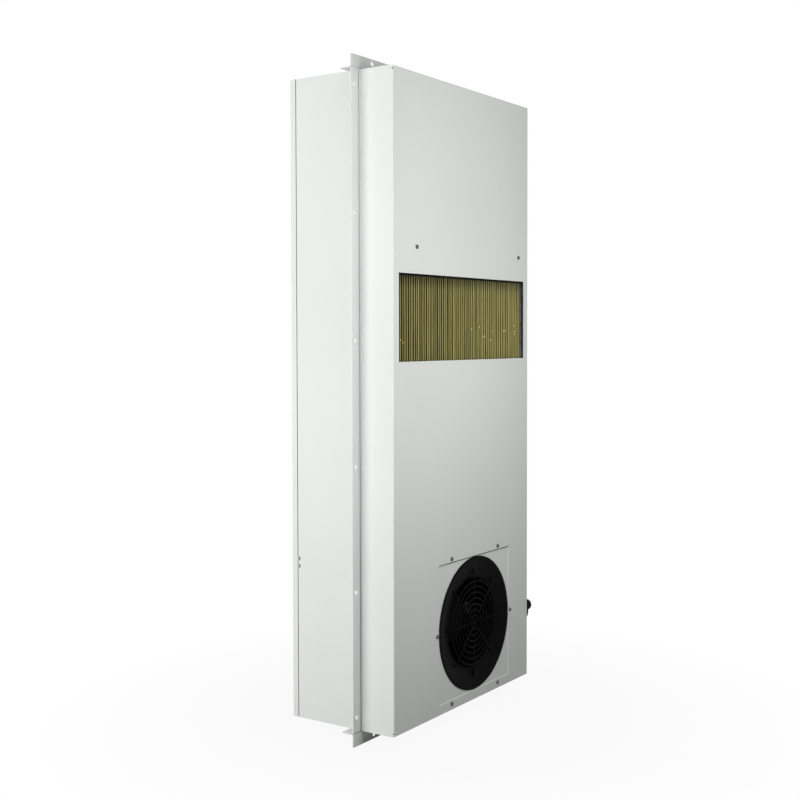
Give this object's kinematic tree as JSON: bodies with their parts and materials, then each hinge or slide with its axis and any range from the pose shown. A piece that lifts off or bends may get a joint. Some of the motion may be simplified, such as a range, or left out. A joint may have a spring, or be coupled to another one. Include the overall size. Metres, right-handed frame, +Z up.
{
  "type": "cabinet heat exchanger",
  "caption": "Tall sheet-metal air-to-air heat exchanger for an equipment cabinet, with a mounting flange, a folded plate core, guarded fans and open air windows.",
  "frame": {"origin": "centre of the mounting flange's hole pattern, on the flange's front face", "axes": "+Z up along the casing, -Y out of the front panel, +X towards the side with the cable gland"},
  "size_m": [0.583, 0.2383, 1.25],
  "materials": {
    "paint": "satin light grey powder coat",
    "galvanised": "galvanised sheet",
    "zinc": "bright zinc plate",
    "core_gold": "gold water-shedding coating",
    "cap_resin": "potting resin",
    "foam": "closed-cell foam",
    "ring": "black moulded",
    "guard": "black coated wire",
    "impeller": "black moulded",
    "motor": "dark cast",
    "board": "green laminate",
    "terminal": "grey moulded",
    "gland": "black polyamide"
  },
  "bodies": {
    "casing": {"bottom_flange": "paint", "bulkhead_screws": "zinc", "cable_gland": "gland", "circuit_board": "board", "control_box": "galvanised", "control_cover": "galvanised", "core_bottom_cap": "cap_resin", "core_foil": "core_gold", "core_left_channel": "galvanised", "core_right_channel": "galvanised", "core_top_cap": "cap_resin", "cover_screws": "zinc", "cover_standoffs": "zinc", "flange_rivets": "paint", "front_bracket_screws": "zinc", "front_casing": "paint", "front_fan_plate": "paint", "front_fan_screws": "zinc", "front_finger_guard": "guard", "front_inlet_ring": "ring", "front_motor_bearings": "zinc", "front_motor_bracket": "galvanised", "front_motor_screws": "zinc", "front_motor_stator": "motor", "front_window_seal": "foam", "gland_nut": "gland", "left_flange": "paint", "lower_bulkhead": "galvanised", "rear_bracket_screws": "zinc", "rear_cover": "paint", "rear_fan_plate": "paint", "rear_fan_screws": "zinc", "rear_finger_guard": "guard", "rear_gasket": "foam", "rear_inlet_ring": "ring", "rear_motor_bearings": "zinc", "rear_motor_bracket": "galvanised", "rear_motor_screws": "zinc", "rear_motor_stator": "motor", "rear_window_seal": "foam", "right_flange": "paint", "terminal_block": "terminal", "terminal_rail": "zinc", "top_flange": "paint", "upper_bulkhead": "galvanised"},
    "front_fan": {"front_impeller": "impeller", "front_motor_rotor": "motor"},
    "rear_fan": {"rear_impeller": "impeller", "rear_motor_rotor": "motor"}
  },
  "joints": [
    {"name": "front_fan_spin", "type": "hinge", "parent": "casing", "child": "front_fan", "pos_m": [0.034, 0, -0.447], "axis": [0, 1, 0], "continuous": true},
    {"name": "rear_fan_spin", "type": "hinge", "parent": "casing", "child": "rear_fan", "pos_m": [0.034, 0, 0.447], "axis": [0, 1, 0], "continuous": true}
  ]
}
